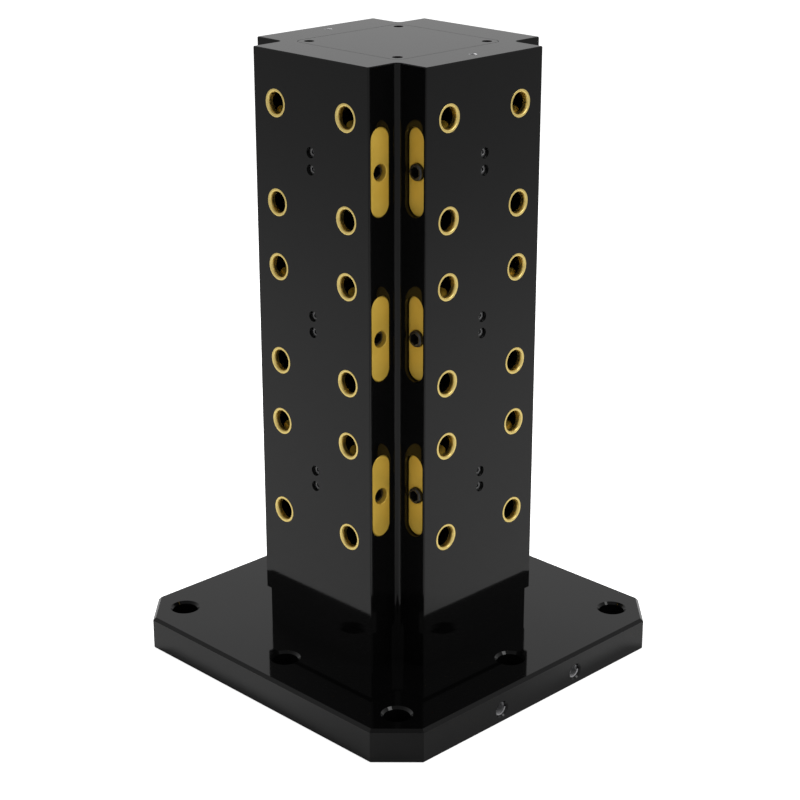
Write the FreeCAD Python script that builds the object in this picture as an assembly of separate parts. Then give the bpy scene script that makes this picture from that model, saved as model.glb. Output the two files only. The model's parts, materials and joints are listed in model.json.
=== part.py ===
import FreeCAD, Part
import math
import os

# Tombstone fixture: a four-sided clamping column on a square base plate.
# Millimetres, +Z up. The origin is the centre of the plate's underside.
# The front face looks along -Y, the right face along +X.

Vector = FreeCAD.Vector
X_AXIS = Vector(1, 0, 0)
Y_AXIS = Vector(0, 1, 0)
Z_AXIS = Vector(0, 0, 1)

# Base plate
PLATE_SIDE = 400.0
PLATE_THICKNESS = 35.0
PLATE_CORNER_CUT = 36.0
PLATE_TOP_CHAMFER = 3.0
PLATE_BOTTOM_CHAMFER = 1.0

# Holes for the bolts that hold the plate to the machine table
TABLE_BOLT_PITCH = 160.0
TABLE_BOLT_HOLE_R = 8.75
TABLE_BOLT_SINK_R = 13.0
TABLE_BOLT_SINK_DEPTH = 18.0
TABLE_BOLT_MOUTH_CHAMFER = 2.5

# Tapped holes in the plate's right side
SIDE_TAP_SPACING = 110.0
SIDE_TAP_HEIGHT = 14.0
SIDE_TAP_R = 7.0
SIDE_TAP_DEPTH = 32.0
SIDE_TAP_MOUTH_CHAMFER = 1.6

# Column
COLUMN_SIDE = 230.0
COLUMN_HEIGHT = 600.0
NOTCH = 37.0
NOTCH_FILLET = 6.0
COLUMN_EDGE_BREAK = 0.5
COLUMN_TOP_CHAMFER = 0.8
FOOT_INSET = 3.0
FOOT_HEIGHT = 38.0
FOOT_FILLET = 12.0
CORE_R = 65.0

# Tapped lifting holes in the column's top rim
LIFT_TAP_FROM_CENTRE = 98.0
LIFT_TAP_R = 3.4
LIFT_TAP_DEPTH = 22.0
LIFT_TAP_MOUTH_CHAMFER = 0.8

# Top cover
COVER_SIDE = 142.0
COVER_THICKNESS = 12.0
COVER_CORNER_R = 11.0
COVER_GAP = 0.25
COVER_SCREW_SPACING = 120.0
COVER_SINK_R = 5.0
COVER_HEAD_BELOW_TOP = 2.5

# Clamping stations, one at each level of each face
LEVELS = ("lower", "middle", "upper")
LOWEST_STATION = 182.0
STATION_PITCH = 160.0
RECEIVER_SPACING = 96.0

# Bushings that line the four receivers of a station
BUSHING_R = 13.5
BUSHING_BORE_R = 10.0
BUSHING_LENGTH = 6.0
BUSHING_PROUD = 0.2
BUSHING_LEAD_IN = 0.5
BUSHING_SEAT_GAP = 0.02
RECEIVER_R = 10.3
RECEIVER_DEPTH = 32.0

# Oblong slots from notch to notch, in which the lock bars slide
SLOT_WIDTH = 24.0
SLOT_HEIGHT = 85.0
SLOT_BELOW_FACE = 15.0

# Bearing blocks that fill the middle of each slot and hold its drive screw
BLOCK_LENGTH = 52.0
BLOCK_GAP = 0.05

# Lock bars
BAR_GAP = 0.1
BAR_LENGTH = 48.0
LEFT_BAR_RECESS = 4.3
BAR_END_CHAMFER = 1.2
BAR_TRAVEL = 3.0
BAR_RECEIVER_GAP = 0.4
LIP_DEPTH = 12.0
LIP_THICKNESS = 6.0
BAR_MOUTH_CHAMFER = 0.6
BAR_THREAD_GAP = 0.1

# Drive screw: left-hand thread, journal with a neck, right-hand thread
THREAD_R = 7.9
JOURNAL_R = 8.0
JOURNAL_GAP = 0.1
JOURNAL_BEYOND_BLOCK = 0.5
LEFT_END_RECESS = 0.5
RIGHT_END_RECESS = 5.0
SCREW_HEX = 10.0
SCREW_HEX_DEPTH = 11.0
THREAD_END_CHAMFER = 1.0
NECK_GAP = 0.3

# Cap screws that hold the bearing blocks
KEEPER_SHANK_R = 3.0
KEEPER_HEAD_R = 5.0
KEEPER_HEAD_HEIGHT = 3.6
KEEPER_HEX = 5.0
KEEPER_SINK_R = 5.25
KEEPER_HEAD_BELOW_FACE = 3.2
KEEPER_END_DEPTH = 40.0
KEEPER_SPACING = 16.4

# Cap screws of the top cover
COVER_SCREW_SHANK_R = 2.5
COVER_SCREW_HEAD_R = 4.25
COVER_SCREW_HEAD_HEIGHT = 5.0
COVER_SCREW_HEX = 4.0
COVER_SCREW_GRIP = 14.0

# Cap screws up through the plate into the column's foot
FOOT_SCREW_SHANK_R = 6.0
FOOT_SCREW_HEAD_R = 9.0
FOOT_SCREW_HEAD_HEIGHT = 12.0
FOOT_SCREW_HEX = 10.0
FOOT_SCREW_SINK_R = 10.0
FOOT_SCREW_HEAD_RECESS = 1.0
FOOT_SCREW_GRIP = 24.0
FOOT_SCREW_CORNER = 60.0
FOOT_SCREW_SIDE = 90.0

# Dowels between plate and column
DOWEL_R = 6.0
DOWEL_IN_PLATE = 20.0
DOWEL_IN_COLUMN = 20.0
DOWEL_X = 90.0
DOWEL_Y = 38.0

# Shared by every screw and hole
HEAD_EDGE_BREAK = 0.5
SOCKET_SHARE = 0.6
SCREW_HOLE_GAP = 0.02
HOLE_OVERRUN = 5.0
TAP_RUN_OUT = 4.0
SAME_PLACE = 1e-6

# Sizes that follow from the ones above
COLUMN_HALF = COLUMN_SIDE / 2
NOTCH_WALL = COLUMN_HALF - NOTCH
COLUMN_TOP = PLATE_THICKNESS + COLUMN_HEIGHT
BLOCK_HALF = BLOCK_LENGTH / 2
BAR_INNER_END = NOTCH_WALL - BAR_LENGTH
AXIS_Y = SLOT_BELOW_FACE - COLUMN_HALF
RECEIVER_OFFSET = RECEIVER_SPACING / 2
NECK_R = KEEPER_SPACING / 2 - KEEPER_SHANK_R - NECK_GAP
NECK_HALF = KEEPER_SHANK_R + NECK_GAP
FACES = {"front": 0, "right": 90, "back": 180, "left": 270}


def station_z(level):
    """Height of a station's centre above the plate's underside."""
    return PLATE_THICKNESS + LOWEST_STATION + STATION_PITCH * level


def turned(shape, angle):
    """A copy of a front-face shape, turned about Z to another face."""
    copy = shape.copy()
    copy.rotate(Vector(0, 0, 0), Z_AXIS, angle)
    return copy


def rod(radius, start, direction, length):
    return Part.makeCylinder(radius, length, start, direction)


def revolved(outline, start, direction):
    """A turned piece from (distance along the axis, radius) points, laid along a direction."""
    points = [Vector(radius, 0, along) for along, radius in outline]
    face = Part.Face(Part.makePolygon(points + points[:1]))
    piece = face.revolve(Vector(0, 0, 0), Z_AXIS, 360)
    piece.Placement = FreeCAD.Placement(start, FreeCAD.Rotation(Z_AXIS, direction))
    return piece


def hex_prism(across_flats, start, direction, length):
    corner = across_flats / math.sqrt(3)
    angles = [math.radians(60 * step) for step in range(6)]
    points = [Vector(corner * math.cos(a), corner * math.sin(a), 0) for a in angles]
    prism = Part.Face(Part.makePolygon(points + points[:1])).extrude(Z_AXIS * length)
    prism.Placement = FreeCAD.Placement(start, FreeCAD.Rotation(Z_AXIS, direction))
    return prism


def cap_screw(shank_r, head_r, head_height, hexagon, grip, head_top, into):
    """A socket cap screw whose head top is at head_top and whose shank points along into."""
    edge = HEAD_EDGE_BREAK
    outline = [
        (0, 0),
        (0, head_r - edge),
        (edge, head_r),
        (head_height, head_r),
        (head_height, shank_r),
        (head_height + grip, shank_r),
        (head_height + grip, 0),
    ]
    socket_start = head_top - into * HOLE_OVERRUN
    socket_length = head_height * SOCKET_SHARE + HOLE_OVERRUN
    socket = hex_prism(hexagon, socket_start, into, socket_length)
    return revolved(outline, head_top, into).cut(socket)


def column_outline(inset, fillet, z):
    """The column's cross-section: a square with a notch at each corner, drawn inset from its size."""
    half = COLUMN_HALF - inset
    wall = NOTCH_WALL - inset
    edge = COLUMN_EDGE_BREAK
    swing = fillet * (1 - math.sqrt(0.5))
    parts = []
    for quarter in range(4):
        corner = [
            Vector(wall - edge, -half, z),
            Vector(wall, -half + edge, z),
            Vector(wall, -wall - fillet, z),
            Vector(wall + swing, -wall - swing, z),
            Vector(wall + fillet, -wall, z),
            Vector(half - edge, -wall, z),
            Vector(half, -wall + edge, z),
            Vector(half, wall - edge, z),
        ]
        lines = [(0, 1), (1, 2), (4, 5), (5, 6), (6, 7)]
        pieces = [Part.LineSegment(corner[a], corner[b]).toShape() for a, b in lines]
        pieces.insert(2, Part.Arc(corner[2], corner[3], corner[4]).toShape())
        parts += [turned(piece, 90 * quarter) for piece in pieces]
    return Part.Face(Part.Wire(parts))


def rounded_square(side, radius, z, height):
    half = side / 2
    block = Part.makeBox(side, side, height, Vector(-half, -half, z))
    upright = [e for e in block.Edges if abs(e.Vertexes[0].Z - e.Vertexes[1].Z) > height / 2]
    return block.makeFillet(radius, upright)


def oblong(width, height, start_x, end_x, z):
    """A bar of oblong section with its flat sides upright, lying along X behind the front face."""
    radius = width / 2
    straight = height / 2 - radius
    top = Vector(start_x, AXIS_Y, z + straight + radius)
    bottom = Vector(start_x, AXIS_Y, z - straight - radius)
    corners = [
        Vector(start_x, AXIS_Y - radius, z - straight),
        Vector(start_x, AXIS_Y - radius, z + straight),
        Vector(start_x, AXIS_Y + radius, z + straight),
        Vector(start_x, AXIS_Y + radius, z - straight),
    ]
    outline = Part.Wire(
        [
            Part.LineSegment(corners[0], corners[1]).toShape(),
            Part.Arc(corners[1], top, corners[2]).toShape(),
            Part.LineSegment(corners[2], corners[3]).toShape(),
            Part.Arc(corners[3], bottom, corners[0]).toShape(),
        ]
    )
    return Part.Face(outline).extrude(X_AXIS * (end_x - start_x))


def table_bolt_places():
    """The eight holes of the plate: its corners and the middles of its sides."""
    steps = (-TABLE_BOLT_PITCH, 0, TABLE_BOLT_PITCH)
    return [(x, y) for x in steps for y in steps if (x, y) != (0, 0)]


def foot_screw_places():
    corner = FOOT_SCREW_CORNER
    side = FOOT_SCREW_SIDE
    corners = [(x, y) for x in (-corner, corner) for y in (-corner, corner)]
    return corners + [(side, 0), (-side, 0), (0, side), (0, -side)]


def dowel_places():
    return [(DOWEL_X, DOWEL_Y), (-DOWEL_X, -DOWEL_Y)]


def cover_screw_places():
    half = COVER_SCREW_SPACING / 2
    return [(x, y) for x in (-half, half) for y in (-half, half)]


def base_plate():
    half = PLATE_SIDE / 2
    cut = half - PLATE_CORNER_CUT
    points = []
    for quarter in range(4):
        for x, y in ((cut, -half), (half, -cut)):
            turn = math.radians(90 * quarter)
            across = x * math.cos(turn) - y * math.sin(turn)
            along = x * math.sin(turn) + y * math.cos(turn)
            points.append(Vector(across, along, 0))
    plate = Part.Face(Part.makePolygon(points + points[:1])).extrude(Z_AXIS * PLATE_THICKNESS)
    rims = {PLATE_THICKNESS: PLATE_TOP_CHAMFER, 0: PLATE_BOTTOM_CHAMFER}
    for height, chamfer in rims.items():
        rim = [e for e in plate.Edges if all(abs(v.Z - height) < SAME_PLACE for v in e.Vertexes)]
        plate = plate.makeChamfer(chamfer, rim)

    cutters = []
    for x, y in table_bolt_places():
        top = Vector(x, y, PLATE_THICKNESS)
        chamfer = TABLE_BOLT_MOUTH_CHAMFER
        cutters.append(rod(TABLE_BOLT_HOLE_R, Vector(x, y, 0), Z_AXIS, PLATE_THICKNESS))
        cutters.append(rod(TABLE_BOLT_SINK_R, top, -Z_AXIS, TABLE_BOLT_SINK_DEPTH))
        cutters.append(
            Part.makeCone(
                TABLE_BOLT_SINK_R, TABLE_BOLT_SINK_R + chamfer, chamfer,
                top - Z_AXIS * chamfer, Z_AXIS,
            )
        )
    for x, y in foot_screw_places():
        sink = FOOT_SCREW_HEAD_HEIGHT + FOOT_SCREW_HEAD_RECESS
        bottom = Vector(x, y, 0)
        cutters.append(rod(FOOT_SCREW_SINK_R, bottom, Z_AXIS, sink))
        cutters.append(rod(FOOT_SCREW_SHANK_R + SCREW_HOLE_GAP, bottom, Z_AXIS, PLATE_THICKNESS))
    for x, y in dowel_places():
        start = Vector(x, y, PLATE_THICKNESS - DOWEL_IN_PLATE)
        cutters.append(rod(DOWEL_R + SCREW_HOLE_GAP, start, Z_AXIS, DOWEL_IN_PLATE))
    for y in (-SIDE_TAP_SPACING / 2, SIDE_TAP_SPACING / 2):
        mouth = Vector(half, y, SIDE_TAP_HEIGHT)
        chamfer = SIDE_TAP_MOUTH_CHAMFER
        cutters.append(rod(SIDE_TAP_R, mouth, -X_AXIS, SIDE_TAP_DEPTH))
        cutters.append(
            Part.makeCone(
                SIDE_TAP_R, SIDE_TAP_R + chamfer, chamfer, mouth - X_AXIS * chamfer, X_AXIS
            )
        )
    return plate.cut(cutters)


def keeper_holes(z):
    """Sunk holes for a station's two keeper screws, down through the face and the bearing block."""
    sink = KEEPER_HEAD_BELOW_FACE + KEEPER_HEAD_HEIGHT
    depth = KEEPER_END_DEPTH + TAP_RUN_OUT
    holes = []
    for rise in (-KEEPER_SPACING / 2, KEEPER_SPACING / 2):
        mouth = Vector(0, -COLUMN_HALF, z + rise)
        holes.append(rod(KEEPER_SINK_R, mouth, Y_AXIS, sink))
        holes.append(rod(KEEPER_SHANK_R + SCREW_HOLE_GAP, mouth, Y_AXIS, depth))
    return holes


def station_cutters(z):
    """What one station takes out of the column, behind its front face."""
    face = -COLUMN_HALF
    slot_end = NOTCH_WALL + HOLE_OVERRUN
    cutters = [oblong(SLOT_WIDTH, SLOT_HEIGHT, -slot_end, slot_end, z)]
    seat_depth = BUSHING_LENGTH - BUSHING_PROUD
    for x in (-RECEIVER_OFFSET, RECEIVER_OFFSET):
        for rise in (-RECEIVER_OFFSET, RECEIVER_OFFSET):
            mouth = Vector(x, face, z + rise)
            cutters.append(rod(BUSHING_R + BUSHING_SEAT_GAP, mouth, Y_AXIS, seat_depth))
            cutters.append(rod(RECEIVER_R, mouth, Y_AXIS, RECEIVER_DEPTH))
    return cutters + keeper_holes(z)


def column():
    foot = column_outline(FOOT_INSET, FOOT_FILLET, PLATE_THICKNESS)
    foot = foot.extrude(Z_AXIS * FOOT_HEIGHT)
    shaft = column_outline(0, NOTCH_FILLET, PLATE_THICKNESS + FOOT_HEIGHT)
    shaft = shaft.extrude(Z_AXIS * (COLUMN_HEIGHT - FOOT_HEIGHT))
    rim = [e for e in shaft.Edges if all(abs(v.Z - COLUMN_TOP) < SAME_PLACE for v in e.Vertexes)]
    shaft = shaft.makeChamfer(COLUMN_TOP_CHAMFER, rim)
    body = foot.fuse(shaft).removeSplitter()

    cover_floor = COLUMN_TOP - COVER_THICKNESS
    cutters = [
        rod(
            CORE_R, Vector(0, 0, PLATE_THICKNESS - HOLE_OVERRUN), Z_AXIS,
            COLUMN_HEIGHT + 2 * HOLE_OVERRUN,
        ),
        rounded_square(
            COVER_SIDE + 2 * COVER_GAP, COVER_CORNER_R + COVER_GAP, cover_floor,
            COVER_THICKNESS + HOLE_OVERRUN,
        ),
    ]
    for x, y in cover_screw_places():
        tap = Vector(x, y, cover_floor)
        depth = COVER_SCREW_GRIP + TAP_RUN_OUT
        cutters.append(rod(COVER_SCREW_SHANK_R + SCREW_HOLE_GAP, tap, -Z_AXIS, depth))
    for x in (-LIFT_TAP_FROM_CENTRE, LIFT_TAP_FROM_CENTRE):
        mouth = Vector(x, 0, COLUMN_TOP)
        chamfer = LIFT_TAP_MOUTH_CHAMFER
        cutters.append(rod(LIFT_TAP_R, mouth, -Z_AXIS, LIFT_TAP_DEPTH))
        cutters.append(
            Part.makeCone(
                LIFT_TAP_R, LIFT_TAP_R + chamfer, chamfer, mouth - Z_AXIS * chamfer, Z_AXIS
            )
        )
    for x, y in foot_screw_places():
        tap = Vector(x, y, PLATE_THICKNESS)
        depth = FOOT_SCREW_GRIP + TAP_RUN_OUT
        cutters.append(rod(FOOT_SCREW_SHANK_R + SCREW_HOLE_GAP, tap, Z_AXIS, depth))
    for x, y in dowel_places():
        start = Vector(x, y, PLATE_THICKNESS)
        cutters.append(rod(DOWEL_R + SCREW_HOLE_GAP, start, Z_AXIS, DOWEL_IN_COLUMN))
    for angle in FACES.values():
        for level in range(len(LEVELS)):
            cutters += [turned(cutter, angle) for cutter in station_cutters(station_z(level))]
    return body.cut(cutters)


def top_cover():
    floor = COLUMN_TOP - COVER_THICKNESS
    cover = rounded_square(COVER_SIDE, COVER_CORNER_R, floor, COVER_THICKNESS)
    cutters = []
    for x, y in cover_screw_places():
        top = Vector(x, y, COLUMN_TOP)
        sink = COVER_HEAD_BELOW_TOP + COVER_SCREW_HEAD_HEIGHT
        cutters.append(rod(COVER_SINK_R, top, -Z_AXIS, sink))
        cutters.append(rod(COVER_SCREW_SHANK_R + SCREW_HOLE_GAP, top, -Z_AXIS, COVER_THICKNESS))
    return cover.cut(cutters)


def top_cover_screws():
    under_head = COVER_THICKNESS - COVER_HEAD_BELOW_TOP - COVER_SCREW_HEAD_HEIGHT
    return [
        cap_screw(
            COVER_SCREW_SHANK_R, COVER_SCREW_HEAD_R, COVER_SCREW_HEAD_HEIGHT, COVER_SCREW_HEX,
            under_head + COVER_SCREW_GRIP,
            Vector(x, y, COLUMN_TOP - COVER_HEAD_BELOW_TOP), -Z_AXIS,
        )
        for x, y in cover_screw_places()
    ]


def foot_screws():
    under_head = PLATE_THICKNESS - FOOT_SCREW_HEAD_RECESS - FOOT_SCREW_HEAD_HEIGHT
    return [
        cap_screw(
            FOOT_SCREW_SHANK_R, FOOT_SCREW_HEAD_R, FOOT_SCREW_HEAD_HEIGHT, FOOT_SCREW_HEX,
            under_head + FOOT_SCREW_GRIP, Vector(x, y, FOOT_SCREW_HEAD_RECESS), Z_AXIS,
        )
        for x, y in foot_screw_places()
    ]


def foot_dowels():
    length = DOWEL_IN_PLATE + DOWEL_IN_COLUMN
    start = PLATE_THICKNESS - DOWEL_IN_PLATE
    return [rod(DOWEL_R, Vector(x, y, start), Z_AXIS, length) for x, y in dowel_places()]


def bushing(x, z):
    """A receiver bushing in the front face, with a lead-in for the pull stud."""
    outline = [
        (0, BUSHING_BORE_R + BUSHING_LEAD_IN),
        (0, BUSHING_R),
        (BUSHING_LENGTH, BUSHING_R),
        (BUSHING_LENGTH, BUSHING_BORE_R),
        (BUSHING_LEAD_IN, BUSHING_BORE_R),
    ]
    return revolved(outline, Vector(x, -COLUMN_HALF - BUSHING_PROUD, z), Y_AXIS)


def bushings(angle):
    offsets = (-RECEIVER_OFFSET, RECEIVER_OFFSET)
    return [
        turned(bushing(x, station_z(level) + rise), angle)
        for level in range(len(LEVELS))
        for x in offsets
        for rise in offsets
    ]


def bearing_blocks(angle):
    """The blocks in the middle of a face's slots, bored for the drive screws' journals."""
    width = SLOT_WIDTH - 2 * BLOCK_GAP
    height = SLOT_HEIGHT - 2 * BLOCK_GAP
    blocks = []
    for level in range(len(LEVELS)):
        z = station_z(level)
        start = Vector(-BLOCK_LENGTH, AXIS_Y, z)
        bore = rod(JOURNAL_R + JOURNAL_GAP, start, X_AXIS, 2 * BLOCK_LENGTH)
        block = oblong(width, height, -BLOCK_HALF, BLOCK_HALF, z)
        blocks.append(turned(block.cut([bore] + keeper_holes(z)), angle))
    return blocks


def keeper_screws(angle):
    """The cap screws that hold the bearing blocks. Their shanks straddle each drive screw's neck."""
    under_head = KEEPER_END_DEPTH - KEEPER_HEAD_BELOW_FACE - KEEPER_HEAD_HEIGHT
    screws = []
    for level in range(len(LEVELS)):
        for rise in (-KEEPER_SPACING / 2, KEEPER_SPACING / 2):
            head = Vector(0, KEEPER_HEAD_BELOW_FACE - COLUMN_HALF, station_z(level) + rise)
            screw = cap_screw(
                KEEPER_SHANK_R, KEEPER_HEAD_R, KEEPER_HEAD_HEIGHT, KEEPER_HEX,
                under_head, head, Y_AXIS,
            )
            screws.append(turned(screw, angle))
    return screws


def drive_screw(level, angle):
    """The screw of one station: left-hand thread, journal with a neck, right-hand thread."""
    left_end = -NOTCH_WALL + LEFT_END_RECESS
    right_end = NOTCH_WALL - RIGHT_END_RECESS
    journal_end = BLOCK_HALF + JOURNAL_BEYOND_BLOCK
    chamfer = THREAD_END_CHAMFER
    places = [
        (left_end, 0),
        (left_end, THREAD_R - chamfer),
        (left_end + chamfer, THREAD_R),
        (-journal_end, THREAD_R),
        (-journal_end, JOURNAL_R),
        (-NECK_HALF, JOURNAL_R),
        (-NECK_HALF, NECK_R),
        (NECK_HALF, NECK_R),
        (NECK_HALF, JOURNAL_R),
        (journal_end, JOURNAL_R),
        (journal_end, THREAD_R),
        (right_end - chamfer, THREAD_R),
        (right_end, THREAD_R - chamfer),
        (right_end, 0),
    ]
    z = station_z(level)
    screw = revolved(places, Vector(0, AXIS_Y, z), X_AXIS)
    left_start = Vector(left_end - HOLE_OVERRUN, AXIS_Y, z)
    right_start = Vector(right_end + HOLE_OVERRUN, AXIS_Y, z)
    length = SCREW_HEX_DEPTH + HOLE_OVERRUN
    sockets = [
        hex_prism(SCREW_HEX, left_start, X_AXIS, length),
        hex_prism(SCREW_HEX, right_start, -X_AXIS, length),
    ]
    return turned(screw.cut(sockets), angle)


def bar_clearance(side, z, depth_from, depth_to, radius, travel):
    """A slot cutter round a receiver's axis, long enough for the bar's travel."""
    x = side * RECEIVER_OFFSET
    length = depth_to - depth_from
    start = Vector(x, depth_from - COLUMN_HALF, z)
    slot = rod(radius, start, Y_AXIS, length)
    if travel > 0:
        moved = start + X_AXIS * side * travel
        low = Vector(min(start.x, moved.x), start.y, z - radius)
        slot = slot.fuse(rod(radius, moved, Y_AXIS, length))
        slot = slot.fuse(Part.makeBox(travel, length, 2 * radius, low))
    return slot


def lock_bar(level, side, angle):
    """A lock bar: an oblong slide, scalloped where the receivers pass it.

    The lip of each scallop grips a pull stud's groove once the bar has moved in.
    """
    z = station_z(level)
    inner = side * BAR_INNER_END
    outer = side * NOTCH_WALL
    if side < 0:
        outer += LEFT_BAR_RECESS
    width = SLOT_WIDTH - 2 * BAR_GAP
    height = SLOT_HEIGHT - 2 * BAR_GAP
    bar = oblong(width, height, inner, outer, z)
    rim = [e for e in bar.Edges if all(abs(v.X - outer) < SAME_PLACE for v in e.Vertexes)]
    bar = bar.makeChamfer(BAR_END_CHAMFER, rim)

    hole_r = THREAD_R + BAR_THREAD_GAP
    start = Vector(inner - side * HOLE_OVERRUN, AXIS_Y, z)
    mouth = Vector(outer - side * BAR_MOUTH_CHAMFER, AXIS_Y, z)
    cutters = [
        rod(hole_r, start, X_AXIS * side, BAR_LENGTH + 2 * HOLE_OVERRUN),
        Part.makeCone(
            hole_r, hole_r + BAR_MOUTH_CHAMFER, BAR_MOUTH_CHAMFER, mouth, X_AXIS * side
        ),
    ]

    receiver_r = RECEIVER_R + BAR_RECEIVER_GAP
    bushing_r = BUSHING_R + BAR_RECEIVER_GAP
    bushing_end = BUSHING_LENGTH - BUSHING_PROUD + BAR_RECEIVER_GAP
    lip_end = LIP_DEPTH + LIP_THICKNESS
    back = SLOT_BELOW_FACE + SLOT_WIDTH / 2 + HOLE_OVERRUN
    for rise in (-RECEIVER_OFFSET, RECEIVER_OFFSET):
        at = z + rise
        cutters.append(bar_clearance(side, at, 0, bushing_end, bushing_r, BAR_TRAVEL))
        cutters.append(bar_clearance(side, at, bushing_end, LIP_DEPTH, receiver_r, BAR_TRAVEL))
        cutters.append(bar_clearance(side, at, LIP_DEPTH, lip_end, receiver_r, 0))
        cutters.append(bar_clearance(side, at, lip_end, back, receiver_r, BAR_TRAVEL))
    return turned(bar.cut(cutters), angle)


def write(node, solids):
    """Save one node, with each of its pieces as a solid of its own."""
    shape = Part.makeCompound(solids) if len(solids) > 1 else solids[0]
    if len(solids) == 1 and len(shape.Solids) == 1:
        shape = shape.Solids[0]
    shape.exportStep("parts/" + node + ".step")


write("base_plate", [base_plate()])
write("column", [column()])
write("top_cover", [top_cover()])
write("top_cover_screws", top_cover_screws())
write("foot_screws", foot_screws())
write("foot_dowels", foot_dowels())
for face, angle in FACES.items():
    write("bushings_" + face, bushings(angle))
    write("bearing_blocks_" + face, bearing_blocks(angle))
    write("keeper_screws_" + face, keeper_screws(angle))
    for level, level_name in enumerate(LEVELS):
        station = face + "_" + level_name
        write("drive_screw_" + station, [drive_screw(level, angle)])
        write("lock_bar_" + station + "_left", [lock_bar(level, -1, angle)])
        write("lock_bar_" + station + "_right", [lock_bar(level, 1, angle)])
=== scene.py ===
import json
import math

import bmesh
import bpy
from mathutils import Matrix, Vector


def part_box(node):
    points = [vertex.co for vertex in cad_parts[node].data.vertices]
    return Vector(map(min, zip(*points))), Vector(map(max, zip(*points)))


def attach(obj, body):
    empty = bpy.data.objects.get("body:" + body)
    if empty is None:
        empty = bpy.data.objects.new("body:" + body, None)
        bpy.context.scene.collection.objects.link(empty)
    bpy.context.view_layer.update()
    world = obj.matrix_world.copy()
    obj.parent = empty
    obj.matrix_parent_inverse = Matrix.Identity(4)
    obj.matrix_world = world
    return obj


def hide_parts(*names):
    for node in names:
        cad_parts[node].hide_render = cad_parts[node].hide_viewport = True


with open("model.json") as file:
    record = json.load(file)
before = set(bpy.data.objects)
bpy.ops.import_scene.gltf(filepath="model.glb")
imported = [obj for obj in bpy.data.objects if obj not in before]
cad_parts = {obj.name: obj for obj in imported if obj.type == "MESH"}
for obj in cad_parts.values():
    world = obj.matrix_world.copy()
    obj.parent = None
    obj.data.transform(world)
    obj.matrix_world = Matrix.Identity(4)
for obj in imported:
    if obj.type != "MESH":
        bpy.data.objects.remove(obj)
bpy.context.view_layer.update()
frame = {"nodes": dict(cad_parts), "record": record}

MM = 0.001
UP = (0, 0, 1)
DOWN = (0, 0, -1)
MOUNTS = {mount["name"]: mount for mount in frame["record"]["mounts"]}
FACES = ("front", "right", "back", "left")
LEVELS = ("lower", "middle", "upper")
PLATE_LOW, PLATE_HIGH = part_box("base_plate")
COLUMN_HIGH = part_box("column")[1]

# Camera, fitted to the photograph's 800 pixel square frame
IMAGE_SIZE = 800
FOCAL_PIXELS = 1933.3
CAMERA_AT = Vector((1.3146, -1.3005, 0.9535))
CAMERA_TURN = math.radians(45.25)
CAMERA_TILT = math.radians(-20.29)
CAMERA_REACH = 100.0
SENSOR = 36.0

# Light: the sky's level by the height of its direction, and the glow that makes the floor white
SKY = [(0.0, 0.50), (0.45, 0.63), (0.80, 0.28), (1.0, 0.18)]
FLOOR_REACH = 30.0
FLOOR_DROP = 0.2 * MM
FLOOR_GLOW = 0.85
GLOW_IN_GLOSS = 0.08

# Soft square lamps: place, side in metres and power in watts
KEY = ((-0.95, 0.50, 1.9), 0.8, 33.0)
FILL = ((1.2, 0.3, 1.2), 0.6, 4.4)

# The two tones, in linear light, that the pattern of each finish runs between
ANODISED_TONES = ((0.0018, 0.0018, 0.0019), (0.0032, 0.0032, 0.0033))
BRONZE_TONES = ((0.90, 0.69, 0.23), (0.96, 0.76, 0.28))
BRASS_TONES = ((0.80, 0.53, 0.070), (0.90, 0.61, 0.095))
OXIDE_TONES = ((0.045, 0.045, 0.047), (0.085, 0.085, 0.088))
DARK_STEEL_TONES = ((0.17, 0.17, 0.172), (0.23, 0.23, 0.232))
GROUND_STEEL_TONES = ((0.46, 0.46, 0.47), (0.60, 0.60, 0.61))
ALUMINIUM_TONES = ((0.42, 0.42, 0.43), (0.56, 0.56, 0.57))
FLOOR_TONES = ((0.80, 0.80, 0.80), (0.84, 0.84, 0.84))
LATHE_PITCH = 0.30 * MM

# Points nearer than this are one, and edges turned less than this are shaded round
SAME_PLACE = 1e-6
ROUND_DEGREES = 35.0

# How far in from its corner the middle of a rounded edge lies, as a share of its radius
ROUND_MIDDLE = 0.3

# Turned rings that line the receivers
RING_STEPS = 72
RING_ROUND = 0.25 * MM
RING_MOUTH_WIDTH = 1.9 * MM
RING_MOUTH_DEPTH = 3.5 * MM
RING_MOUTH_POINTS = 8

# Threads in the tapped holes: the V's depth and its flats are shares of the pitch
SIDE_THREAD_PITCH = 2.0 * MM
SIDE_THREAD_LENGTH = 30.0 * MM
LIFT_THREAD_PITCH = 1.0 * MM
LIFT_THREAD_LENGTH = 20.0 * MM
THREAD_DEPTH_PER_PITCH = 0.54
THREAD_FLAT_PER_PITCH = 0.125
THREAD_CLEARANCE = 0.03 * MM
THREAD_STEPS = 32
THREAD_ROUND_DEGREES = 50.0
LIFT_TAP_MOUTH = 0.8 * MM

# The broken edge round the top cover, which draws its seam
COVER_EDGE = 0.4 * MM
COVER_SCREW_HOLE_R = 5.1 * MM
COVER_FLAT_DEGREES = 0.5
COVER_RIM_DEGREES = 60.0

# Socket cap screws: head radius, head height, shank radius, key width and key depth
KEEPER = (5.0 * MM, 3.6 * MM, 3.0 * MM, 4.0 * MM, 2.0 * MM)
COVER_SCREW = (4.25 * MM, 5.0 * MM, 2.5 * MM, 4.0 * MM, 3.0 * MM)
FOOT_SCREW = (9.0 * MM, 12.0 * MM, 6.0 * MM, 10.0 * MM, 7.2 * MM)
HEAD_ROUND = 0.5 * MM
KEY_SIDES = 6
KEY_CHAMFER = 0.3 * MM
KEY_POINT_PER_RADIUS = 0.25
SHANK_TAPER = 0.15
SCREW_STEPS = 48


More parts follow.
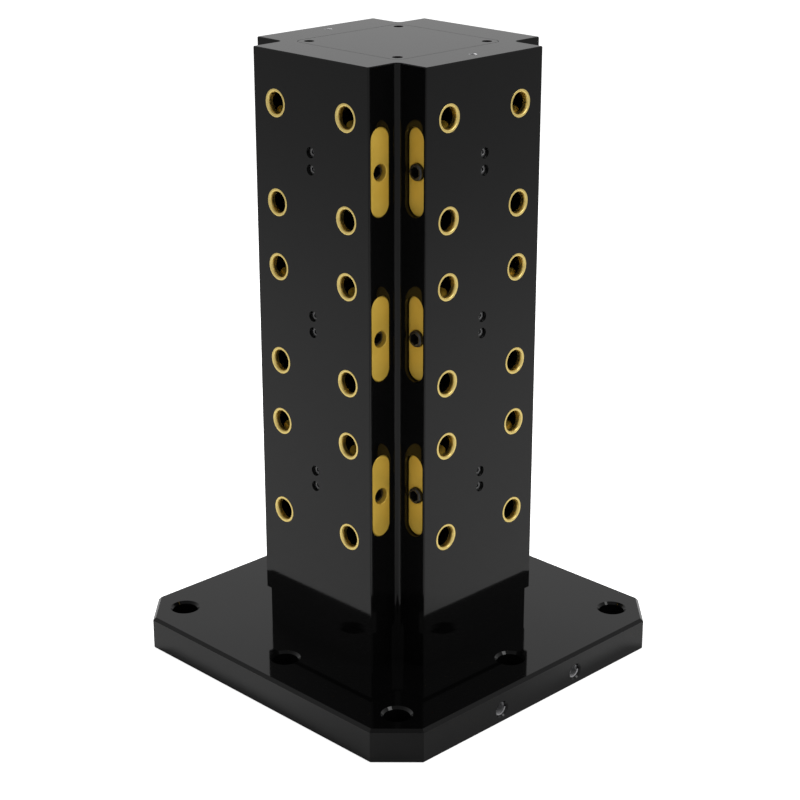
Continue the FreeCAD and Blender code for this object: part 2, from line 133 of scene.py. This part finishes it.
class Value:
    """A socket of a node tree, which plain arithmetic joins to Math nodes."""

    def __init__(self, finish, socket):
        self.finish = finish
        self.socket = socket

    def _math(self, operation, *values):
        settings = {"operation": operation}
        return self.finish.node("ShaderNodeMath", settings, dict(enumerate(values)))

    def __add__(self, other):
        return self._math("ADD", self, other)

    def __radd__(self, other):
        return self._math("ADD", other, self)

    def __mul__(self, other):
        return self._math("MULTIPLY", self, other)

    def sine(self):
        return self._math("SINE", self)


class Finish:
    """A node tree that is built up one call at a time."""

    def __init__(self, owner):
        self.owner = owner
        owner.use_nodes = True
        self.tree = owner.node_tree
        self.tree.nodes.clear()

    def _add(self, kind, settings, inputs):
        made = self.tree.nodes.new(kind)
        for key, setting in settings.items():
            if key == "stops":
                self._set_stops(made.color_ramp, setting)
            else:
                setattr(made, key, setting)
        for key, given in inputs.items():
            if isinstance(given, Value):
                self.tree.links.new(given.socket, made.inputs[key])
            else:
                made.inputs[key].default_value = given
        return made

    def node(self, kind, settings, inputs, output=0):
        """Add a node, give it its settings and inputs, and return one of its outputs."""
        return Value(self, self._add(kind, settings, inputs).outputs[output])

    @staticmethod
    def _set_stops(ramp, stops):
        while len(ramp.elements) < len(stops):
            ramp.elements.new(0.5)
        for element, (place, colour) in zip(ramp.elements, stops):
            element.position = place
            element.color = (*colour, 1.0)

    def noise(self, scale, detail, stretch=None):
        """Noise over the place on the object, or over that place stretched."""
        place = self.node("ShaderNodeTexCoord", {}, {}, "Object")
        if stretch:
            place = self.node("ShaderNodeMapping", {}, {"Vector": place, "Scale": stretch})
        inputs = {"Vector": place, "Scale": scale, "Detail": detail}
        return self.node("ShaderNodeTexNoise", {}, inputs, "Fac")

    def ramp(self, factor, stops):
        return self.node("ShaderNodeValToRGB", {"stops": stops}, {"Fac": factor}, "Color")

    def blend(self, factor, tones, low=0.3, high=0.7):
        """The first tone up to the low factor, and the second from the high one on."""
        return self.ramp(factor, [(low, tones[0]), (high, tones[1])])

    def bump(self, height, strength, distance):
        inputs = {"Height": height, "Strength": strength, "Distance": distance}
        return self.node("ShaderNodeBump", {}, inputs, "Normal")

    def seen_by(self, ray):
        return self.node("ShaderNodeLightPath", {}, {}, "Is %s Ray" % ray)

    def done(self, shader, output="ShaderNodeOutputMaterial"):
        """Join the last shader to the output."""
        self._add(output, {"target": "ALL"}, {"Surface": shader})
        return self.owner

    def surface(self, **inputs):
        """Finish with a Principled shader. Names are the sockets' names with _ for spaces."""
        named = {key.replace("_", " "): given for key, given in inputs.items()}
        return self.done(self.node("ShaderNodeBsdfPrincipled", {}, named, "BSDF"))


def material(name):
    return Finish(bpy.data.materials.new(name))


def black_anodised():
    """Glossy black over ground aluminium: faint clouding, and a grain too fine to see."""
    finish = material("black_anodised")
    cloud = finish.noise(scale=5.0, detail=4.0)
    grain = finish.noise(scale=1400.0, detail=2.0)
    return finish.surface(
        Base_Color=finish.blend(cloud, ANODISED_TONES),
        Roughness=0.035 + cloud * 0.03 + grain * 0.02,
        IOR=1.36,
        Normal=finish.bump(grain, strength=0.02, distance=0.02 * MM),
    )


def turned_bronze():
    """The bushings' metal, with the faint rings that a lathe leaves."""
    finish = material("turned_bronze")
    radius = finish.node("ShaderNodeAttribute", {"attribute_name": "radius"}, {}, "Fac")
    rings = (radius * (2 * math.pi / LATHE_PITCH)).sine()
    cloud = finish.noise(scale=90.0, detail=3.0)
    return finish.surface(
        Base_Color=finish.blend(cloud, BRONZE_TONES, low=0.25, high=0.75),
        Metallic=1.0,
        Roughness=0.34 + cloud * 0.08,
        Normal=finish.bump(rings, strength=0.12, distance=0.02 * MM),
    )


def sawn_brass():
    """The lock bars' metal: drawn along its length, and dull where it was cut to length."""
    finish = material("sawn_brass")
    lines = finish.noise(scale=1.0, detail=3.0, stretch=(300.0, 300.0, 45.0))
    cloud = finish.noise(scale=40.0, detail=3.0)
    return finish.surface(
        Base_Color=finish.blend(cloud, BRASS_TONES, low=0.25, high=0.75),
        Metallic=0.5,
        Roughness=0.42 + lines * 0.10,
        Normal=finish.bump(lines, strength=0.10, distance=0.02 * MM),
    )


def black_oxide():
    """Blackened steel with an oily sheen."""
    finish = material("black_oxide")
    mottle = finish.noise(scale=300.0, detail=4.0)
    return finish.surface(
        Base_Color=finish.blend(mottle, OXIDE_TONES),
        Metallic=0.9,
        Roughness=0.26 + mottle * 0.14,
        Normal=finish.bump(mottle, strength=0.10, distance=0.03 * MM),
    )


def dark_steel():
    """The keeper screws' metal: dark, and rubbed a little lighter in patches."""
    finish = material("dark_steel")
    rub = finish.noise(scale=500.0, detail=3.0)
    return finish.surface(
        Base_Color=finish.blend(rub, DARK_STEEL_TONES),
        Metallic=0.9,
        Roughness=0.32 + rub * 0.14,
        Normal=finish.bump(rub, strength=0.10, distance=0.02 * MM),
    )


def ground_steel():
    """The dowels' metal, ground along its length."""
    finish = material("ground_steel")
    lines = finish.noise(scale=1.0, detail=2.0, stretch=(700.0, 700.0, 40.0))
    return finish.surface(
        Base_Color=finish.blend(lines, GROUND_STEEL_TONES),
        Metallic=1.0,
        Roughness=0.22 + lines * 0.12,
        Normal=finish.bump(lines, strength=0.10, distance=0.01 * MM),
    )


def cut_aluminium():
    """The freshly cut metal of the tapped holes."""
    finish = material("cut_aluminium")
    cuts = finish.noise(scale=700.0, detail=2.0)
    return finish.surface(
        Base_Color=finish.blend(cuts, ALUMINIUM_TONES),
        Metallic=1.0,
        Roughness=0.42 + cuts * 0.15,
        Normal=finish.bump(cuts, strength=0.15, distance=0.02 * MM),
    )


def pale_floor():
    """A plain white floor. The camera sees it lit to white, and gloss sees part of that glow."""
    finish = material("pale_floor")
    speck = finish.noise(scale=60.0, detail=2.0)
    colour = finish.blend(speck, FLOOR_TONES, low=0.2, high=0.8)
    matt = finish.node("ShaderNodeBsdfDiffuse", {}, {"Color": colour}, "BSDF")
    through = finish.seen_by("Camera") + finish.seen_by("Transmission")
    share = through + finish.seen_by("Glossy") * GLOW_IN_GLOSS
    light = {"Color": (1, 1, 1, 1), "Strength": share * FLOOR_GLOW}
    glow = finish.node("ShaderNodeEmission", {}, light)
    return finish.done(finish.node("ShaderNodeAddShader", {}, {0: matt, 1: glow}))


def give(name, finish):
    """Give a CAD node a finish."""
    for slot in frame["nodes"][name].material_slots:
        slot.material = finish


def linked(name, data):
    """A new object with this data, linked into the scene."""
    made = bpy.data.objects.new(name, data)
    bpy.context.scene.collection.objects.link(made)
    return made


def mesh_object(name, shape, finish):
    """A new mesh object from a finished bmesh, which is used up."""
    mesh = bpy.data.meshes.new(name)
    shape.to_mesh(mesh)
    shape.free()
    mesh.materials.append(finish)
    return linked(name, mesh)


def piece(name, shape, finish, replaced=()):
    """Make a new piece, which rides on the fixture, from a finished bmesh."""
    bmesh.ops.recalc_face_normals(shape, faces=shape.faces)
    made = mesh_object(name, shape, finish)
    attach(made, "fixture")
    if replaced:
        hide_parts(*replaced)
    return made


def smooth(made, degrees=ROUND_DEGREES):
    """Shade round surfaces round, and keep the edges between them sharp."""
    made.data.shade_smooth()
    made.data.set_sharp_from_angle(angle=math.radians(degrees))


def laid(place, axis):
    """The matrix that lays local Z along an axis, with its origin at a place."""
    turn = Vector(axis).to_track_quat("Z", "Y").to_matrix().to_4x4()
    return Matrix.Translation(Vector(place)) @ turn


def weld(shape):
    """Join the points of a bmesh that lie in the same place."""
    bmesh.ops.remove_doubles(shape, verts=shape.verts, dist=SAME_PLACE)


def spun(outline, steps, turns=1, rise=0.0):
    """A bmesh of an outline of (radius, height) points spun round local Z.

    A rise is how far it climbs at each step, which makes a thread of it.
    """
    shape = bmesh.new()
    points = [shape.verts.new((radius, 0, height)) for radius, height in outline]
    lines = [shape.edges.new(pair) for pair in zip(points, points[1:])]
    bmesh.ops.spin(
        shape, geom=points + lines, cent=(0, 0, 0), axis=UP, dvec=(0, 0, rise),
        angle=2 * math.pi * turns, steps=steps, use_merge=not rise, use_normal_flip=False,
        use_duplicate=False,
    )
    weld(shape)
    return shape


def rounded_rim(radius, size):
    """The outline of a rounded upper edge: where it starts, its middle and where it ends."""
    inset = size * ROUND_MIDDLE
    return [(radius - size, 0.0), (radius - inset, -inset), (radius, -size)]


def copies(single, matrices):
    """A bmesh of one shape laid at each matrix. The single shape is used up."""
    mesh = bpy.data.meshes.new("copy")
    single.to_mesh(mesh)
    single.free()
    together = bmesh.new()
    for matrix in matrices:
        before = len(together.verts)
        together.from_mesh(mesh)
        together.verts.ensure_lookup_table()
        bmesh.ops.transform(together, matrix=matrix, verts=together.verts[before:])
    bpy.data.meshes.remove(mesh)
    return together


def solids_of(name):
    """The box of each separate solid of a CAD node, as its lowest and highest corner."""
    shape = bmesh.new()
    shape.from_mesh(frame["nodes"][name].data)
    weld(shape)
    waiting = set(shape.verts)
    solids = []
    while waiting:
        found = [waiting.pop()]
        for vert in found:
            near = {edge.other_vert(vert) for edge in vert.link_edges} & waiting
            waiting -= near
            found.extend(near)
        corners = zip(*(vert.co for vert in found))
        low, high = zip(*((min(values), max(values)) for values in corners))
        solids.append((Vector(low), Vector(high)))
    shape.free()
    return solids


def ring_outline(bore, outer, length):
    """A bushing's section: a mouth rounded to the bore, and a broken edge outside."""
    outline = [(bore, -length)]
    for step in range(RING_MOUTH_POINTS, -1, -1):
        turn = math.pi / 2 * step / RING_MOUTH_POINTS
        inward = RING_MOUTH_WIDTH * (1 - math.sin(turn))
        outline.append((bore + inward, RING_MOUTH_DEPTH * (math.cos(turn) - 1)))
    return outline + rounded_rim(outer, RING_ROUND) + [(outer, -length), (bore, -length)]


def bushing_rings(face, bronze):
    """Twelve receiver bushings of a face as closed rings."""
    stations = [MOUNTS["station_%s_%s" % (face, level)] for level in LEVELS]
    sizes = stations[0]["dims"]
    spacing = sizes["spacing_x_mm"] * MM
    axis = Vector(stations[0]["axis"])
    across = axis.cross(UP)
    low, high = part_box("bushings_" + face)
    top = max(low.dot(axis), high.dot(axis))
    length = abs((high - low).dot(axis))
    outer = (abs((high - low).dot(across)) - spacing) / 2
    ring = spun(ring_outline(sizes["hole_r_mm"] * MM, outer, length), RING_STEPS)
    radius = ring.verts.layers.float.new("radius")
    for vert in ring.verts:
        vert[radius] = vert.co.xy.length
    places = []
    for station in stations:
        centre = Vector(station["pos_m"])
        centre += axis * (top - centre.dot(axis))
        for side in (-1, 1):
            for level in (-1, 1):
                offset = across * side + Vector(UP) * level
                places.append(laid(centre + offset * (spacing / 2), axis))
    name = "bushing_rings_" + face
    smooth(piece(name, copies(ring, places), bronze, ["bushings_" + face]))


def of_kind(items, kind):
    """The vertices or the edges among the items that a bmesh operator gives back."""
    return [item for item in items if isinstance(item, kind)]


def socket_screw(head_r, head_height, shank_r, key_width, key_depth, length):
    """A socket cap screw with its head's top at the origin and its shank down local Z."""
    key_r = key_width / math.sqrt(3)
    outline = [(key_r + KEY_CHAMFER, 0.0)] + rounded_rim(head_r, HEAD_ROUND) + [
        (head_r, -head_height),
        (shank_r, -head_height),
        (shank_r, shank_r * SHANK_TAPER - length),
        (shank_r * (1 - SHANK_TAPER), -length),
    ]
    shape = spun(outline, SCREW_STEPS)
    rims = [edge for edge in shape.edges if edge.is_boundary]
    mouth = [edge for edge in rims if edge.verts[0].co.z > -head_height / 2]
    end = [edge for edge in rims if edge not in mouth]
    bmesh.ops.holes_fill(shape, edges=end, sides=0)

    # The socket's outline has as many points as the head, and is bridged to its mouth
    key = bmesh.ops.create_circle(
        shape, cap_ends=False, segments=KEY_SIDES, radius=key_r
    )["verts"]
    sides = list({edge for vert in key for edge in vert.link_edges})
    bmesh.ops.subdivide_edges(shape, edges=sides, cuts=SCREW_STEPS // KEY_SIDES - 1)
    taken = {vert for edge in mouth for vert in edge.verts}
    loop = [
        edge for edge in shape.edges
        if edge.is_wire and not taken.intersection(edge.verts)
    ]
    loop_verts = list({vert for edge in loop for vert in edge.verts})
    bmesh.ops.translate(shape, verts=loop_verts, vec=(0, 0, -KEY_CHAMFER))
    bmesh.ops.bridge_loops(shape, edges=mouth + loop)

    # Its walls go down to the key's depth, and a drilled point closes its floor
    walls = bmesh.ops.extrude_edge_only(shape, edges=loop)["geom"]
    down = (0, 0, KEY_CHAMFER - key_depth)
    bmesh.ops.translate(shape, verts=of_kind(walls, bmesh.types.BMVert), vec=down)
    bottom = [edge for edge in of_kind(walls, bmesh.types.BMEdge) if edge.is_boundary]
    cone = bmesh.ops.extrude_edge_only(shape, edges=bottom)["geom"]
    point = (0, 0, -key_depth - key_r * KEY_POINT_PER_RADIUS)
    bmesh.ops.pointmerge(shape, verts=of_kind(cone, bmesh.types.BMVert), merge_co=point)
    return shape


def cap_screws(node, sizes, axis, finish):
    """Rounded socket screws in place of a CAD node's, with their heads out along an axis."""
    axis = Vector(axis)
    solids = solids_of(node)
    length = abs((solids[0][1] - solids[0][0]).dot(axis))
    places = []
    for low, high in solids:
        middle = (low + high) / 2
        places.append(laid(middle + axis * length / 2, axis))
    shape = copies(socket_screw(*sizes, length), places)
    smooth(piece(node + "_detailed", shape, finish, [node]))


def tap_thread(name, place, axis, radius, length, pitch, finish):
    """The cut thread of a tapped hole: one V, spun and lifted a pitch each turn."""
    axis = Vector(axis)
    major = radius - THREAD_CLEARANCE
    minor = major - THREAD_DEPTH_PER_PITCH * pitch
    flat = pitch * THREAD_FLAT_PER_PITCH
    outline = [
        (major, 0.0),
        (minor, pitch / 2 - flat),
        (minor, pitch / 2 + flat),
        (major, pitch - flat),
        (major, pitch),
    ]
    turns = int(length / pitch) - 1
    steps = THREAD_STEPS * turns
    shape = spun(outline, steps, turns, rise=pitch * turns / steps)
    start = Vector(place) - axis * (turns + 1) * pitch
    bmesh.ops.transform(shape, matrix=laid(start, axis), verts=shape.verts)
    smooth(piece(name, shape, finish), THREAD_ROUND_DEGREES)


def tap_mouth(name, place, axis, radius, depth, finish):
    """The bare countersink at a tapped hole's mouth, a hair over the black metal."""
    skin = THREAD_CLEARANCE
    outline = [
        (radius - skin, -depth),
        (radius - skin, -depth - skin),
        (radius, -depth - skin),
        (radius + depth, -skin),
        (radius + depth - skin, 0.0),
        (radius - skin, -depth),
    ]
    shape = spun(outline, SCREW_STEPS)
    bmesh.ops.transform(shape, matrix=laid(place, axis), verts=shape.verts)
    smooth(piece(name, shape, finish))


def cover_rim(shape):
    """The upper outer edges of the top cover, without the mouths of its screw holes."""
    top = max(vert.co.z for vert in shape.verts)
    screws = [(low + high) / 2 for low, high in solids_of("top_cover_screws")]
    turned = math.radians(COVER_RIM_DEGREES)
    rim = []
    for edge in shape.edges:
        level = all(abs(vert.co.z - top) < SAME_PLACE for vert in edge.verts)
        sharp = edge.is_manifold and edge.calc_face_angle() > turned
        middle = (edge.verts[0].co + edge.verts[1].co) / 2
        hole = any((middle - centre).xy.length < COVER_SCREW_HOLE_R for centre in screws)
        if level and sharp and not hole:
            rim.append(edge)
    return rim


def cover(finish):
    """The top cover with its upper edge broken, so that the seam round it shows."""
    shape = bmesh.new()
    shape.from_mesh(frame["nodes"]["top_cover"].data)
    weld(shape)
    bmesh.ops.dissolve_limit(
        shape, angle_limit=math.radians(COVER_FLAT_DEGREES), verts=shape.verts,
        edges=shape.edges,
    )
    bmesh.ops.bevel(
        shape, geom=cover_rim(shape), offset=COVER_EDGE, offset_type="OFFSET", segments=1,
        profile=0.5, affect="EDGES", material=-1,
    )
    smooth(piece("top_cover_eased", shape, finish, ["top_cover"]))


def tapped_holes(finish):
    """The threads of the two side taps and the two lifting taps."""
    for side in ("near", "far"):
        mount = MOUNTS["side_tap_" + side]
        mouth = Vector(mount["pos_m"])
        mouth.x = PLATE_HIGH.x - SIDE_THREAD_PITCH
        radius = mount["dims"]["r_mm"] * MM
        tap_thread(
            "side_tap_thread_" + side, mouth, mount["axis"], radius,
            SIDE_THREAD_LENGTH - SIDE_THREAD_PITCH, SIDE_THREAD_PITCH, finish,
        )
    lift = MOUNTS["lift_taps"]
    out = lift["dims"]["pcd_mm"] * MM / 2
    radius = lift["dims"]["hole_r_mm"] * MM
    for side, x in (("left", -out), ("right", out)):
        tap_thread(
            "lift_tap_thread_" + side, (x, 0, COLUMN_HIGH.z - LIFT_THREAD_PITCH),
            lift["axis"], radius, LIFT_THREAD_LENGTH, LIFT_THREAD_PITCH, finish,
        )
        tap_mouth(
            "lift_tap_mouth_" + side, (x, 0, COLUMN_HIGH.z), lift["axis"], radius,
            LIFT_TAP_MOUTH, finish,
        )


def dress():
    """Give every piece its finish, and add the pieces that the solids leave plain."""
    black = black_anodised()
    bronze = turned_bronze()
    brass = sawn_brass()
    oxide = black_oxide()
    steel = dark_steel()
    for name in frame["nodes"]:
        if name in ("base_plate", "column", "top_cover"):
            give(name, black)
        elif name == "foot_dowels":
            give(name, ground_steel())
        elif name.startswith("bushings"):
            give(name, bronze)
        elif name.startswith("lock_bar"):
            give(name, brass)
        elif name.startswith("keeper_screws"):
            give(name, steel)
        else:
            give(name, oxide)
    for face in FACES:
        bushing_rings(face, bronze)
        axis = MOUNTS["face_" + face]["axis"]
        cap_screws("keeper_screws_" + face, KEEPER, axis, steel)
    cap_screws("top_cover_screws", COVER_SCREW, UP, oxide)
    cap_screws("foot_screws", FOOT_SCREW, DOWN, oxide)
    cover(black)
    tapped_holes(cut_aluminium())


def floor():
    """The white ground that the fixture stands on."""
    shape = bmesh.new()
    bmesh.ops.create_grid(shape, x_segments=2, y_segments=2, size=FLOOR_REACH)
    bmesh.ops.translate(shape, verts=shape.verts, vec=(0, 0, PLATE_LOW.z - FLOOR_DROP))
    mesh_object("floor", shape, pale_floor())


def sky():
    """A plain soft sky, brightest part of the way up and dimmest overhead."""
    world = bpy.data.worlds.new("sky")
    finish = Finish(world)
    direction = finish.node("ShaderNodeTexCoord", {}, {}, "Generated")
    height = finish.node("ShaderNodeSeparateXYZ", {}, {"Vector": direction}, "Z")
    level = finish.ramp(height, [(place, (grey, grey, grey)) for place, grey in SKY])
    light = finish.node("ShaderNodeBackground", {}, {"Color": level, "Strength": 1.0})
    bpy.context.scene.world = finish.done(light, "ShaderNodeOutputWorld")


def aimed(made, direction):
    """Turn a lamp or a camera to look along a direction."""
    made.rotation_euler = direction.to_track_quat("-Z", "Y").to_euler()


def soft_lamp(name, place, side, power):
    """A square lamp that points at the foot of the object."""
    data = bpy.data.lights.new(name, "AREA")
    data.shape = "SQUARE"
    data.size = side
    data.energy = power
    lamp = linked(name, data)
    lamp.location = place
    aimed(lamp, Vector((0, 0, PLATE_HIGH.z)) - Vector(place))


def camera():
    """The photograph's viewpoint."""
    data = bpy.data.cameras.new("camera")
    data.sensor_width = SENSOR
    data.lens = SENSOR * FOCAL_PIXELS / IMAGE_SIZE
    data.clip_end = CAMERA_REACH
    view = linked("camera", data)
    view.location = CAMERA_AT
    level = math.cos(CAMERA_TILT)
    ahead = (
        -math.sin(CAMERA_TURN) * level,
        math.cos(CAMERA_TURN) * level,
        math.sin(CAMERA_TILT),
    )
    aimed(view, Vector(ahead))
    bpy.context.scene.camera = view


dress()
floor()
sky()
soft_lamp("key", *KEY)
soft_lamp("fill", *FILL)
camera()
bpy.context.scene.view_settings.view_transform = "Standard"
